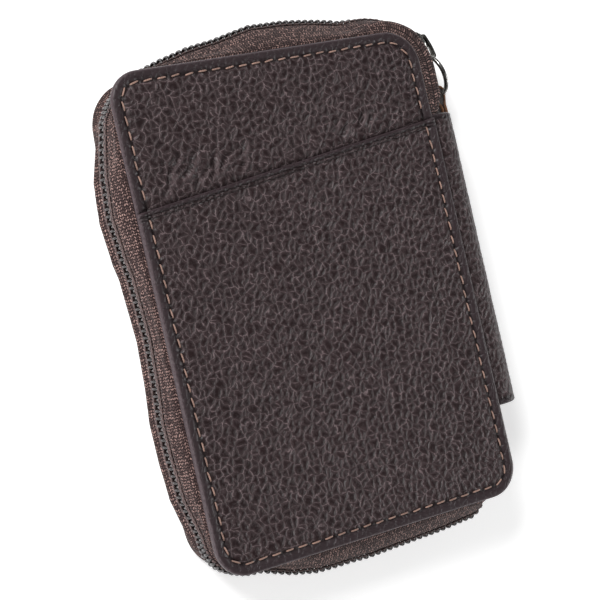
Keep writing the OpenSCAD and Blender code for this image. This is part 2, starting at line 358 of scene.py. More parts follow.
def leather_material(name, top=(0.0140, 0.0062, 0.0068), crease_highlight=(0.170, 0.124, 0.129), edge_tint=(0.036, 0.025, 0.028)):
    m, nt, b = mat_new(name)
    g = G(nt)
    co = g.attr("pc", "Vector")
    edge, cell, fine_edge = grain_nodes(g, co)
    n1 = g.noise(co, 0.08, 3.0)
    n2 = g.noise(co, 1.3, 4.0, 0.65)
    n3 = g.noise(co, 5.0, 3.0, 0.6)
    wid = g.ramp(g.noise(co, 0.35, 2.0), 0.3, 0.7, 0.03, 0.12, smooth=False)
    e = g.math("DIVIDE", edge, wid)
    creasem = g.math("SUBTRACT", 1.0, g.ramp(e, 0.05, 1.0))
    fine = g.math("MULTIPLY", g.math("SUBTRACT", 1.0, g.ramp(fine_edge, 0.0, 0.12)), g.ramp(n2, 0.40, 0.60))
    d = g.attr("inset")
    shade = g.attr("shade")
    plain = g.math("SUBTRACT", 1.0, g.ramp(d, 2.15, 2.9))
    inside = g.ramp(d, 2.15, 3.0)
    cm = g.math("MULTIPLY", creasem, inside)
    fm = g.math("MULTIPLY", fine, g.math("MULTIPLY", inside, 0.55))
    # colour: worn dark tops; the paler creases, pebble slopes and fine cracks are painted highlight where the grain's
    # sides catch the light
    col = g.mix(g.ramp(n1, 0.3, 0.7), top, tuple(c * 1.25 for c in top))
    cellv = g.node("ShaderNodeSeparateColor")
    nt.links.new(cell, cellv.inputs[0])
    col = g.mix(g.math("MULTIPLY", cellv.outputs[0], 0.45), col, tuple(c * 0.62 for c in top))
    half = tuple(0.66 * a + 0.34 * c for a, c in zip(top, crease_highlight))
    slope_highlight = g.math("MULTIPLY", g.math("SUBTRACT", 1.0, g.ramp(edge, 0.04, 0.40)), inside)
    col = g.mix(g.math("MULTIPLY", slope_highlight, 0.55), col, half)
    col = g.mix(g.math("MULTIPLY", fm, 0.75), col, half)
    # painted highlight: the creases' paler colour is made brighter in streaks stretched up and down, as from a light at
    # the side
    streak_highlight = g.ramp(g.noise(g.vmath("MULTIPLY", co, (1.0, 0.34, 1.0)), 0.95, 3.0, 0.6), 0.36, 0.64, 0.14, 1.0)
    col = g.mix(g.math("MULTIPLY", cm, streak_highlight), col, crease_highlight)
    col = g.mix(g.math("MULTIPLY", plain, 0.75), col, edge_tint)
    # paler patches on the border: partly rubbed wear, partly painted sheen
    rub_and_sheen = g.math("MULTIPLY", plain, g.ramp(g.noise(co, 0.7, 5.0, 0.7), 0.48, 0.75))
    col = g.mix(g.math("MULTIPLY", rub_and_sheen, 0.5), col, tuple(c * 1.7 for c in edge_tint))
    # painted shade: the border is darkened along the stitch groove
    dark = g.math("SUBTRACT", 1.0, g.ramp(g.math("ABSOLUTE", g.math("SUBTRACT", d, 2.5)), 0.12, 0.6))
    col = g.mix(g.math("MULTIPLY", dark, 0.7), col, tuple(c * 0.4 for c in top))
    # painted highlight along the outer rim of the border and the pocket's folded edge
    rim = g.math("SUBTRACT", 1.0, g.ramp(d, 0.15, 0.75))
    col = g.mix(g.math("MULTIPLY", rim, g.ramp(n2, 0.3, 0.65, 0.25, 0.8)), col, tuple(c * 2.3 for c in edge_tint))
    # painted shade where the shade attribute is positive, painted highlight where it is negative
    col = g.mix(g.math("MULTIPLY", shade, 0.85, clamp=True), col, tuple(c * 0.35 for c in top))
    col = g.mix(g.math("MULTIPLY", shade, -0.85, clamp=True), col, crease_highlight)
    nt.links.new(col, b.inputs["Base Color"])
    rough = g.math("ADD", g.math("MULTIPLY", cm, 0.12), g.ramp(n2, 0.3, 0.75, 0.35, 0.47, smooth=False))
    nt.links.new(rough, b.inputs["Roughness"])
    soft = g.ramp(d, 0.3, 2.9, 0.30, 1.0)
    h = g.math("MULTIPLY", g.math("ADD", g.math("MULTIPLY", g.ramp(edge, 0.0, 0.34), 1.0), g.math("SUBTRACT", 1.0, creasem)), soft)
    h = g.math("SUBTRACT", g.math("MULTIPLY", h, 0.6), g.math("MULTIPLY", fm, 0.5))
    h = g.math("ADD", h, g.math("MULTIPLY", n3, 0.10))
    h = g.math("ADD", h, g.math("MULTIPLY", n2, 0.22))
    nt.links.new(g.bump(h, 1.0, 0.00017), b.inputs["Normal"])
    set_in(b, **{"Specular_IOR_Level": 0.28, "Coat_Weight": 0.0})
    return m


def smooth_leather(name, col=(0.030, 0.0175, 0.0170), rough=0.46, edge=None, cell=1.15):
    m, nt, b = mat_new(name)
    g = G(nt)
    co = g.coords(1000.0)
    n1 = g.noise(co, 0.12, 3.0)
    n2 = g.noise(co, 2.6, 5.0, 0.62)
    n4 = g.noise(co, 0.6, 4.0, 0.6)
    wv = g.vmath("SCALE", g.vmath("SUBTRACT", g.noise(co, 0.8, 3.0, out=1), (0.5, 0.5, 0.5)), scale=1.2)
    p = g.vmath("ADD", co, wv)
    pores = g.voronoi(p, cell, "DISTANCE_TO_EDGE")
    line = g.math("SUBTRACT", 1.0, g.ramp(pores, 0.0, 0.10))
    c = g.mix(g.ramp(n1, 0.3, 0.7), col, tuple(x * 1.4 for x in col))
    c = g.mix(g.ramp(n4, 0.5, 0.75, 0.0, 0.5), c, tuple(x * 0.6 for x in col))
    c = g.mix(g.math("MULTIPLY", line, 0.55), c, tuple(x * 2.1 for x in col))
    if edge is not None:
        e = g.attr("edge")
        ec = g.mix(g.ramp(g.noise(co, 3.5, 4.0, 0.7), 0.3, 0.7), edge, tuple(x * 0.45 for x in edge))
        c = g.mix(e, c, ec)
    nt.links.new(c, b.inputs["Base Color"])
    r = g.ramp(n2, 0.3, 0.7, rough - 0.06, rough + 0.1, smooth=False)
    nt.links.new(r, b.inputs["Roughness"])
    h = g.math("ADD", g.math("MULTIPLY", n2, 0.35), g.ramp(pores, 0.0, 0.22))
    nt.links.new(g.bump(h, 0.8, 0.00010), b.inputs["Normal"])
    set_in(b, **{"Specular_IOR_Level": 0.34})
    return m


def lining_material(name, col=(0.030, 0.019, 0.017)):
    m, nt, b = mat_new(name)
    g = G(nt)
    co = g.coords(1000.0)
    sx = g.node("ShaderNodeSeparateXYZ")
    nt.links.new(co, sx.inputs[0])
    wx = g.math("SINE", g.math("MULTIPLY", sx.outputs[0], 12.0))
    wy = g.math("SINE", g.math("MULTIPLY", sx.outputs[1], 12.0))
    w = g.math("MULTIPLY", wx, wy)
    n = g.noise(co, 1.2, 4.0, 0.6)
    c = g.mix(g.ramp(w, -0.8, 0.8), col, tuple(x * 2.1 for x in col))
    c = g.mix(g.ramp(n, 0.35, 0.7, 0.0, 0.4), c, tuple(x * 1.7 for x in col))
    nt.links.new(c, b.inputs["Base Color"])
    nt.links.new(g.bump(g.math("ADD", w, g.math("MULTIPLY", n, 0.6)), 0.5, 0.00006), b.inputs["Normal"])
    nt.links.new(g.ramp(n, 0.2, 0.8, 0.66, 0.82, smooth=False), b.inputs["Roughness"])
    set_in(b, **{"Sheen_Weight": 0.08, "Sheen_Roughness": 0.5, "Specular_IOR_Level": 0.25})
    return m


def tape_material(name):
    """Woven zip tape: rows of small slanted loops, which change their slant from column to column."""
    m, nt, b = mat_new(name)
    g = G(nt)
    st = g.attr("st", "Vector")
    sp = g.node("ShaderNodeSeparateXYZ")
    nt.links.new(st, sp.inputs[0])
    u, v = sp.outputs[0], sp.outputs[1]
    wn = g.noise(g.coords(1000.0), 0.9, 3.0, 0.6)
    col_w = 0.52
    vc = g.math("DIVIDE", v, col_w)
    idx = g.math("FLOOR", vc)
    fv = g.math("SUBTRACT", g.math("FRACT", vc), 0.5)
    sign = g.math("SUBTRACT", g.math("MULTIPLY", g.math("MODULO", g.math("ABSOLUTE", idx), 2.0), 2.0), 1.0)
    slant = g.math("MULTIPLY", g.math("MULTIPLY", fv, sign), 0.62)
    uu = g.math("ADD", g.math("DIVIDE", u, 0.66), slant)
    uu = g.math("ADD", uu, g.math("MULTIPLY", g.math("SUBTRACT", wn, 0.5), 1.7))
    fu = g.math("ABSOLUTE", g.math("SUBTRACT", g.math("FRACT", uu), 0.5))
    across = g.math("ABSOLUTE", fv)
    loop = g.math("MULTIPLY", g.math("SUBTRACT", 1.0, g.ramp(fu, 0.12, 0.46)), g.math("SUBTRACT", 1.0, g.ramp(across, 0.26, 0.5)))
    rnd = g.node("ShaderNodeTexWhiteNoise", noise_dimensions="2D")
    cmb = g.node("ShaderNodeCombineXYZ")
    nt.links.new(idx, cmb.inputs[0])
    nt.links.new(g.math("FLOOR", uu), cmb.inputs[1])
    nt.links.new(cmb.outputs[0], rnd.inputs["Vector"])
    gap_shade = (0.012, 0.006, 0.006)
    mid = (0.064, 0.036, 0.0345)
    high = (0.36, 0.225, 0.20)
    # painted shade: the gaps between the loops are darkened
    c = g.mix(g.ramp(loop, 0.1, 0.62), gap_shade, mid)
    fleck = g.math("MULTIPLY", g.ramp(rnd.outputs["Value"], 0.15, 0.9), g.ramp(loop, 0.55, 0.95))
    c = g.mix(fleck, c, high)
    fuzz = g.noise(g.coords(1000.0), 6.0, 3.0, 0.7)
    c = g.mix(g.ramp(fuzz, 0.5, 0.75, 0.0, 0.25), c, tuple(x * 1.2 for x in mid))
    nt.links.new(c, b.inputs["Base Color"])
    h = g.math("ADD", loop, g.math("MULTIPLY", fuzz, 0.25))
    nt.links.new(g.bump(h, 0.9, 0.00016), b.inputs["Normal"])
    nt.links.new(g.ramp(fuzz, 0.3, 0.7, 0.62, 0.78, smooth=False), b.inputs["Roughness"])
    set_in(b, **{"Specular_IOR_Level": 0.2, "Sheen_Weight": 0.04, "Sheen_Roughness": 0.45})
    return m


def coil_material(name):
    m, nt, b = mat_new(name)
    g = G(nt)
    co = g.coords(1000.0)
    n = g.noise(co, 2.2, 3.0, 0.6)
    c = g.mix(g.ramp(n, 0.3, 0.7), (0.008, 0.0055, 0.0058), (0.022, 0.014, 0.0145))
    nt.links.new(c, b.inputs["Base Color"])
    nt.links.new(g.ramp(n, 0.3, 0.7, 0.16, 0.3, smooth=False), b.inputs["Roughness"])
    nt.links.new(g.bump(g.noise(co, 9.0, 2.0), 0.15, 0.00004), b.inputs["Normal"])
    set_in(b, **{"Specular_IOR_Level": 0.55, "Coat_Weight": 0.15, "Coat_Roughness": 0.1})
    return m


def thread_material(name, col=(0.30, 0.180, 0.142), ply=True):
    m, nt, b = mat_new(name)
    g = G(nt)
    co = g.coords(1000.0)
    tint = g.attr("tint")
    n = g.noise(co, 3.5, 4.0, 0.65)
    c = g.mix(g.ramp(tint, 0.0, 1.0, 0.0, 0.65, smooth=False), col, tuple(min(1, x * 1.55) for x in col))
    c = g.mix(g.ramp(n, 0.42, 0.7, 0.0, 0.55), c, tuple(x * 0.5 for x in col))
    nt.links.new(c, b.inputs["Base Color"])
    tw = g.attr("twist")
    w = g.math("SINE", g.math("MULTIPLY", tw, 6.2832))
    nt.links.new(g.bump(g.math("ADD", w, g.math("MULTIPLY", n, 0.6)), 0.6, 0.00006), b.inputs["Normal"])
    nt.links.new(g.ramp(n, 0.3, 0.7, 0.5, 0.68, smooth=False), b.inputs["Roughness"])
    set_in(b, **{"Sheen_Weight": 0.25, "Specular_IOR_Level": 0.4})
    return m


def metal_material(name, col=(0.34, 0.335, 0.32), dark=(0.085, 0.08, 0.074), rough=0.2):
    m, nt, b = mat_new(name)
    g = G(nt)
    co = g.coords(1000.0)
    n = g.noise(co, 0.7, 4.0, 0.6)
    n2 = g.noise(co, 5.0, 4.0, 0.65)
    c = g.mix(g.ramp(n, 0.35, 0.65), col, dark)
    c = g.mix(g.ramp(n2, 0.55, 0.75, 0.0, 0.5), c, tuple(min(1, x * 1.8) for x in col))
    nt.links.new(c, b.inputs["Base Color"])
    nt.links.new(g.ramp(n2, 0.3, 0.7, rough - 0.05, rough + 0.16, smooth=False), b.inputs["Roughness"])
    nt.links.new(g.bump(n2, 0.12, 0.00005), b.inputs["Normal"])
    set_in(b, **{"Metallic": 1.0})
    return m


def board_material(name):
    m, nt, b = mat_new(name)
    g = G(nt)
    co = g.coords(1000.0)
    n = g.noise(co, 1.1, 5.0, 0.7)
    nt.links.new(g.mix(g.ramp(n, 0.3, 0.7), (0.23, 0.19, 0.14), (0.33, 0.28, 0.21)), b.inputs["Base Color"])
    nt.links.new(g.bump(n, 0.3, 0.00008), b.inputs["Normal"])
    nt.links.new(g.ramp(n, 0.3, 0.7, 0.8, 0.92, smooth=False), b.inputs["Roughness"])
    return m


LEATHER = leather_material("pebbled_leather")
SPINE_LEATHER = leather_material("pebbled_leather_spine", top=(0.0165, 0.0076, 0.0082))
INNER = smooth_leather("inner_leather")
TAB = smooth_leather("tab_leather", col=(0.042, 0.024, 0.021), edge=(0.34, 0.150, 0.066), cell=1.5)
LINING = lining_material("lining_cloth")
TAPE = tape_material("zip_tape_weave")
COIL = coil_material("coil_nylon")
THREAD = thread_material("seam_thread")
SEW = thread_material("zip_sewing_thread", col=(0.085, 0.05, 0.047))
METAL = metal_material("antique_nickel")
BOARD = board_material("fibre_board")


def finish(o, mat, body, slot, *nodes):
    o.data.materials.clear()
    o.data.materials.append(mat)
    if body:
        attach(o, body)
    if nodes:
        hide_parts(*nodes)
    return o


# ---------------------------------------------------------------- covers
EDGE = [(0.0, -0.72), (0.03, -0.5), (0.1, -0.3), (0.22, -0.13), (0.4, 0.0), (0.65, 0.09), (0.95, 0.13), (1.3, 0.11), (1.6, 0.02),
        (1.9, -0.17), (2.12, -0.3), (2.3, -0.4), (2.5, -0.43), (2.7, -0.39), (2.9, -0.3), (3.15, -0.18), (3.45, -0.08),
        (3.8, -0.02), (4.3, 0.01), (5.0, 0.03), (6.0, 0.04)]
EDGE_FLAT = [(d, min(drop, 0.02) - 0.04) for d, drop in EDGE]


def lie(x, y):
    """Slow, slight unevenness of a hand-made leather panel."""
    return 0.10 * noise3(x, y, 0, 0.035, 1) + 0.05 * noise3(x, y, 0, 0.11, 2)


def with_grain(v, d, x0=0.0, shade=None):
    pc = np.stack([v[:, 0] + x0, v[:, 1], np.zeros(len(v))], 1)
    return {"inset": d, "pc": pc, "shade": np.zeros(len(v)) if shade is None else shade}


def fold_lines():
    rnd = random.Random(41)
    out = []
    for i in range(26):
        if i < 19:
            x = rnd.uniform(-32, -9)
            m = rnd.uniform(0.3, 4.5)
        else:
            x = rnd.uniform(11, 24)
            m = rnd.uniform(0.3, 3.5)
        a = math.radians(rnd.uniform(36, 66))
        L = rnd.uniform(3.0, 8.5) * (1 if i < 19 else 0.7)
        out.append((x, mouth_y(x) + m, math.cos(a), math.sin(a), L, rnd.uniform(0.20, 0.36), rnd.uniform(0.34, 0.50)))
    return out


FOLDS = fold_lines()


def wrinkle(x, y):
    """Soft creases in the field just above the pocket's mouth."""
    m = y - mouth_y(x)
    if m < -1.0 or m > 13:
        return 0.0
    z = 0.0
    for x0, y0, c, s_, L, h, w in FOLDS:
        dx, dy = x - x0, y - y0
        t = dx * c + dy * s_
        if t < -0.5 or t > L + 0.5:
            continue
        q = -dx * s_ + dy * c + 0.35 * math.sin(t * 0.9 + x0)
        if abs(q) > 1.5:
            continue
        f = max(0.0, min(1.0, (t + 0.5) / 1.5)) * max(0.0, min(1.0, (L + 0.5 - t) / 2.0))
        z += f * h * (math.exp(-(q / w) ** 2) - 0.8 * math.exp(-((q - 1.6 * w) / w) ** 2))
    return z


def make_field():
    v, f, d = panel("front_field", HW, HH, R, EDGE, lambda x, y, s: FIELD_Z + lie(x, y) * min(1, max(0, s - 2.5) / 3) + wrinkle(x, y) * min(1, max(0, s - 2.8) / 2),
                    ns=(250, 176, 18), floor_z=16.0, sub=0.44)
    sh = np.zeros(len(v))
    for i, (x, y, z) in enumerate(v):
        m = y - mouth_y(x)
        if -1.5 < m < 12 and z > 16.8:
            w = wrinkle(x, y)
            # painted shade in the wrinkles' valleys and just above the pocket's mouth, painted highlight (negative
            # values) on their ridges
            sh[i] = min(0.6, max(0.0, -w * 3.0)) - min(0.55, max(0.0, (w - 0.06) * 2.4)) + 0.8 * math.exp(-(max(0.0, m) / 0.30) ** 2)
            if m < 1.2 and d[i] > 0.8:
                v[i][2] -= 0.22 * (1 - max(0.0, m) / 1.2)
    o = outward(add_object("front_field_panel", v, f, with_grain(v, d, shade=np.clip(sh, -1, 1))))
    pebble(o)
    return finish(o, LEATHER, "front", "pebbled_leather", "front_cover")


def make_pocket():
    def z(x, y, s):
        return FACE_Z + lie(x, y + 3) * min(1, max(0, s - 2.5) / 3)
    v, f, d = panel("pocket", HW + 0.06, HH + 0.06, R, EDGE, z, ns=(250, 176, 18), floor_z=17.12, sub=0.44)
    o = outward(add_object("front_pocket_panel", v, f, with_grain(v, d, 31.0)))
    bm = bmesh.new()
    bm.from_mesh(o.data)
    no = Vector((-(M_R - M_L) / (2 * HW), 1, 0)).normalized()
    at = Vector((0, mouth_y(0), 0)) * MM
    for off in (0.0, 0.06, 0.16, 0.32, 0.55, 0.8, 0.95, 1.1, 1.25, 1.45, 1.65, 1.8, 1.95, 2.15, 2.5, 3.0):
        geom = bm.verts[:] + bm.edges[:] + bm.faces[:]
        bmesh.ops.bisect_plane(bm, geom=geom, plane_co=at - no * off * MM, plane_no=no, clear_outer=(off == 0.0), dist=1e-7)
        if off == 0.0:
            edges = [e for e in bm.edges if e.is_boundary]
            bmesh.ops.holes_fill(bm, edges=edges)
    shl = bm.verts.layers.float["shade"]
    inl = bm.verts.layers.float["inset"]
    for vert in bm.verts:
        x, y, zz = vert.co / MM
        off = (at - vert.co).dot(no) / MM
        if zz > 17.5 and off < 3.2:
            drop = -0.55 * max(0, 1 - off / 0.42) ** 2 + 0.10 * math.exp(-((off - 0.55) / 0.25) ** 2)
            # painted shade along the hem's two crease lines
            sh = 0.0
            for c0, dep, wd in ((1.1, 0.20, 0.13), (1.85, 0.18, 0.13)):
                drop -= dep * math.exp(-((off - c0) / wd) ** 2)
                sh += 0.95 * math.exp(-((off - c0) / wd) ** 2)
            drop += 0.06 * math.exp(-((off - 1.48) / 0.2) ** 2)
            vert.co.z += drop * MM
            vert[shl] = min(1.0, sh)
            # an inset of 0.25 at the fold's edge gives it the rim's painted highlight; further in, the hem takes the
            # smooth border's colour
            vert[inl] = min(vert[inl], 0.25 if off < 0.3 else (1.7 if off < 0.95 else (3.02 if off < 2.0 else 9.0)))
    bmesh.ops.recalc_face_normals(bm, faces=bm.faces)
    bm.to_mesh(o.data)
    bm.free()
    o.data.polygons.foreach_set("use_smooth", [True] * len(o.data.polygons))
    pebble(o)
    return finish(o, LEATHER, "front", "pebbled_leather", "front_pocket")


def make_back():
    v, f, d = panel("back", HW, HH, (8.2, 11.5, 11.5, 8.0), EDGE_FLAT, lambda x, y, s: 1.2 + 0.0 * s, ns=(250, 176, 18), floor_z=0.0, sub=0.5)
    v[:, 2] = 1.2 - v[:, 2]
    o = outward(add_object("back_panel", v, f, with_grain(v, d, 77.0)))
    pebble(o, 0.09)
    return finish(o, LEATHER, "back", "pebbled_leather", "back_cover")


# ---------------------------------------------------------------- stitches
def seam_path(w, h, r):
    """Dense closed line of the seam with its length at each point."""
    p = rounded(w, h, r, (400, 280, 40))
    p = np.vstack([p, p[:1]])
    L = np.concatenate([[0], np.cumsum(np.hypot(*np.diff(p, axis=0).T))])
    return p, L


def walk(s, path):
    p, L = path
    x, y = np.interp(s, L, p[:, 0]), np.interp(s, L, p[:, 1])
    q = (s + 0.3) % L[-1]
    return float(x), float(y), math.atan2(float(np.interp(q, L, p[:, 1]) - y), float(np.interp(q, L, p[:, 0]) - x))


def tube(points, radii, sides=8, flat=1.0, up=None, closed=False):
    """Vertices and faces of a tube along points (mm)."""
    P = np.asarray(points, float)
    n = len(P)
    T = np.gradient(P, axis=0) if not closed else (np.roll(P, -1, 0) - np.roll(P, 1, 0))
    T /= np.linalg.norm(T, axis=1)[:, None] + 1e-12
    if up is None:
        up = np.tile(np.array([0, 0, 1.0]), (n, 1))
    N = up - (up * T).sum(1)[:, None] * T
    bad = np.linalg.norm(N, axis=1) < 1e-3
    if bad.any():
        alt = np.array([0, 1.0, 0])
        N[bad] = alt - (alt * T[bad]).sum(1)[:, None] * T[bad]
    N /= np.linalg.norm(N, axis=1)[:, None]
    B = np.cross(T, N)
    rr = np.asarray(radii, float) * np.ones(n)
    verts = []
    for k in range(sides):
        a = 2 * math.pi * k / sides
        verts.append(P + N * (rr * math.cos(a) * flat)[:, None] + B * (rr * math.sin(a))[:, None])
    V = np.stack(verts, 1).reshape(-1, 3)
    F = []
    m = n if closed else n - 1
    for i in range(m):
        i2 = (i + 1) % n
        for k in range(sides):
            k2 = (k + 1) % sides
            F.append((i * sides + k, i * sides + k2, i2 * sides + k2, i2 * sides + k))
    if not closed:
        F.append([k for k in reversed(range(sides))])
        F.append([(n - 1) * sides + k for k in range(sides)])
    return V, F


def make_seam(name, front, body, node):
    rnd = random.Random(7 if front else 11)
    ins = 2.5
    path = seam_path(HW - ins, HH - ins, tuple(q - ins for q in (R if front else (8.2, 11.5, 11.5, 8.0))))
    total = path[1][-1]
    n = int(total / PITCH)
    V, F, tint, twist = [], [], [], []
    base = 0
    for i in range(n):
        x, y, a = walk((i + 0.5) * total / n, path)
        d = y - mouth_y(x)
        if front and abs(d) < 0.9:
            continue
        a += math.radians(6 + rnd.uniform(-4, 4))
        L = 2.2 + rnd.uniform(-0.2, 0.2)
        side = rnd.uniform(-0.12, 0.12)
        if front:
            surf = (FACE_Z if d < 0 else FIELD_Z) - 0.42
        else:
            surf = 0.42
        pts, rad = [], []
        ts = np.linspace(-1, 1, 9)
        for t in ts:
            lift = 0.20 * (1 - abs(t) ** 3.2) - 0.24 * abs(t) ** 6
            z = surf + lift - 0.02 if front else surf - lift * 0.75
            pts.append((x + math.cos(a) * t * L / 2 - math.sin(a) * side, y + math.sin(a) * t * L / 2 + math.cos(a) * side, z))
            rad.append(0.19 * (1 - 0.55 * abs(t) ** 5))
        v, f = tube(pts, rad, 8, 0.85)
        V.append(v)
        F += [[q + base for q in ff] for ff in f]
        base += len(v)
        tint += [rnd.random()] * len(v)
        for j in range(len(ts)):
            for k in range(8):
                twist.append(j * 0.55 + k / 8)
    o = add_object(name, np.vstack(V), F, {"tint": tint, "twist": twist})
    return finish(outward(o), THREAD, body, "thread", node)


# ---------------------------------------------------------------- the zip's run
CR, CL, CT, CB = XR - ZR, XL + ZR, YT - ZR, YB + ZR
SEGS = []
_y0 = SPINE_T - 1.6
_y1 = SPINE_B + 1.4
SEGS.append(("L", (XR, _y0), (0, 1), CT - _y0, 0.0))
SEGS.append(("A", (CR, CT), 0.0, ZR * math.pi / 2, 0))
SEGS.append(("L", (CR, YT), (-1, 0), CR - CL, math.pi / 2))
SEGS.append(("A", (CL, CT), math.pi / 2, ZR * math.pi / 2, 0))
SEGS.append(("L", (XL, CT), (0, -1), CT - CB, math.pi))
SEGS.append(("A", (CL, CB), math.pi, ZR * math.pi / 2, 0))
SEGS.append(("L", (CL, YB), (1, 0), CR - CL, 1.5 * math.pi))
SEGS.append(("A", (CR, CB), 1.5 * math.pi, ZR * math.pi / 2, 0))
SEGS.append(("L", (XR, CB), (0, 1), _y1 - CB, 0.0))
RUN = sum(s[3] for s in SEGS)
ARC0 = SEGS[0][3]
TOP0 = ARC0 + SEGS[1][3]


def run_point(s):
    """(x, y, outward x, outward y) at distance s along the zip."""
    s = max(0.0, min(RUN - 1e-6, s))
    for kind, c, a, L, n in SEGS:
        if s <= L:
            if kind == "L":
                return (c[0] + a[0] * s, c[1] + a[1] * s, math.cos(n), math.sin(n))
            an = a + s / ZR
            return (c[0] + ZR * math.cos(an), c[1] + ZR * math.sin(an), math.cos(an), math.sin(an))
        s -= L
    raise ValueError


PULL_S = [0, 34, 40.4, 47.4, 55, 63.4, 72.4, 79.4, 85.4, 91.6, 102.6, 110, 116, 125, 134, 143, 147, 152, 160.6, 169.5, 178.4, 187,
          196, 205, 214, 222, 228.3, 235.3, 241.3, 254.3, 283.1, 294.1, 305.1, 318]
PULL = [0, 0, 1.6, 0.9, 0.2, 0.0, 1.8, 2.4, 3.5, 5.0, 6.2, 5.2, 3.4, 0.8, 0.1, 0.9, 1.6, 1.9, 2.4, 2.0, 1.1, 1.05,
        1.6, 3.7, 3.8, 3.7, 3.4, 1.2, 0.1, -0.1, 1.0, 6.6, 6.0, 0]


def bow(s):
    """How far the soft tape stands out beyond its regular run, by place."""
    x, y, nx, ny = run_point(s)
    b = 0.0
    if ny > 0.5:
        b += 1.7 * max(0, 1 - ((x - 6) / 34) ** 2) * ny
    if ny < -0.5:
        b += 0.9 * max(0, 1 - ((x - 6) / 36) ** 2) * -ny
    if nx < -0.5:
        b += 0.5 * (1 - ((y + 2) / 60) ** 2) * -nx
    b -= float(np.interp(s, PULL_S, PULL))
    b += 0.28 * noise3(s, 0, 0, 0.045, 5) + 0.12 * noise3(s, 0, 0, 0.16, 6)
    if s < TOP0 + 8:
        b *= max(0.0, min(1.0, (s - TOP0 + 2) / 10))
    return b


def tuck(s):
    """Along the zip side the two parting edges sit a little further in than the tapes' bellies."""
    x, y, nx, ny = run_point(s)
    return 1.35 * max(0.0, -nx) * min(1.0, max(0.0, (s - 112) / 14)) * min(1.0, max(0.0, (216 - s) / 12))


TAPE_P = [(-4.9, 1.35), (-4.4, 1.32), (-3.8, 1.45), (-3.15, 1.78), (-2.5, 2.25), (-1.9, 2.85), (-1.35, 3.55), (-0.9, 4.3), (-0.5, 5.1),
          (-0.22, 5.9), (-0.05, 6.5), (0.0, 6.85)]


def profile_table(p, step=0.28):
    p = np.array(p, float)
    L = np.concatenate([[0], np.cumsum(np.linalg.norm(np.diff(p, axis=0), axis=1))])
    n = int(L[-1] / step) + 1
    t = np.linspace(0, L[-1], n)
    return np.stack([np.interp(t, L, p[:, 0]), np.interp(t, L, p[:, 1])], 1), t


def make_tape(name, front, body, node):
    prof, vv = profile_table(TAPE_P)
    ns = int(RUN / 0.75)
    S = np.linspace(0, RUN, ns)
    thick = 0.55
    # normals of the section
    d = np.gradient(prof, axis=0)
    nrm = np.stack([d[:, 1], -d[:, 0]], 1)
    nrm /= np.linalg.norm(nrm, axis=1)[:, None]
    outer = prof
    inner = prof - nrm * thick
    loop = np.vstack([outer, inner[::-1]])
    vloop = np.concatenate([vv, vv[::-1] + 20.0])
    k = len(loop)
    V, st = [], []
    for s in S:
        x, y, nx, ny = run_point(s)
        b = bow(s)
        pull = float(np.interp(s, PULL_S, PULL))
        tk = tuck(s)
        for (o_, z), v in zip(loop, vloop):
            w = max(0.0, min(1.0, (z - 1.6) / 4.6))
            w = w * w * (3 - 2 * w)
            if front:
                off0 = 2.3 * math.exp(-((z - 2.7) / 1.15) ** 2) * max(0.0, min(1.0, (s - 1.0) / 5)) * max(0.0, min(1.0, (TOP0 + 2 - s) / 14)) * sm(z, 1.4, 2.3)
            else:
                off0 = 1.1 * math.exp(-((z - 3.7) / 1.3) ** 2) * max(0.0, -nx)
            ripple = 0.10 * noise3(s, z * 2.0, 0, 0.35, 8 if front else 9) * w
            w2 = sm(z, 0.9, 3.9)
            off = o_ + (b + pull) * w - pull * w2 + ripple + off0
            off -= tk * sm(z, 3.9, 6.3)
            if z < 3.4:
                off = max(off, -5.0)
            zz = ZF - z if front else z
            V.append((x + nx * off, y + ny * off, zz))
            st.append((s, v, 0))
    F = []
    for i in range(ns - 1):
        for j in range(k):
            j2 = (j + 1) % k
            F.append((i * k + j, i * k + j2, (i + 1) * k + j2, (i + 1) * k + j))
    F.append([j for j in reversed(range(k))])
    F.append([(ns - 1) * k + j for j in range(k)])
    o = outward(add_object(name, V, F, {"st": st}))
    return finish(o, TAPE, body, "zip_tape", node)


COIL_PITCH = 1.6


def make_coil(name, front, body, node):
    """Nylon filament wound along the tape's edge, its heads meshing with the other half's."""
    zc = ZMID + (1.02 if front else -1.02)
    s0, s1 = 3.2, RUN - 3.4
    skip = (ARC0 + 7.3, ARC0 + 9.5)
    runs = [(s0, skip[0]), (skip[1], s1)]
    V, F = [], []
    base = 0
    for a, b in runs:
        if b - a < 1:
            continue
        turns = int((b - a) / COIL_PITCH)
        n = turns * 16
        pts, ups = [], []
        for i in range(n + 1):
            t = i / 16.0
            s = a + t * COIL_PITCH + (COIL_PITCH / 2 if front else 0)
            ph = 2 * math.pi * t
            x, y, nx, ny = run_point(s)
            bo = bow(s)
            # flattened loop: broad head at the parting line
            cz, sz = math.cos(ph), math.sin(ph)
            hz = 1.28 * cz
            ho = 0.66 * math.copysign(abs(sz) ** 0.8, sz)
            lean = 0.36 * cz
            x2, y2, nx, ny = run_point(s + lean)
            off = -0.48 + 0.95 * max(0.0, ny) * max(0.0, min(1.0, (s - TOP0) / 8.0)) + 0.75 * max(0.0, -ny) + bo + ho - tuck(s)
            z = zc + (hz if not front else -hz)
            pts.append((x2 + nx * off, y2 + ny * off, z))
            ups.append((nx, ny, 0))
        v, f = tube(pts, 0.34, 7, 1.0, np.array(ups))
        V.append(v)
        F += [[q + base for q in ff] for ff in f]
        base += len(v)
    o = outward(add_object(name, np.vstack(V), F))
    return finish(o, COIL, body, "zip_coil", node)


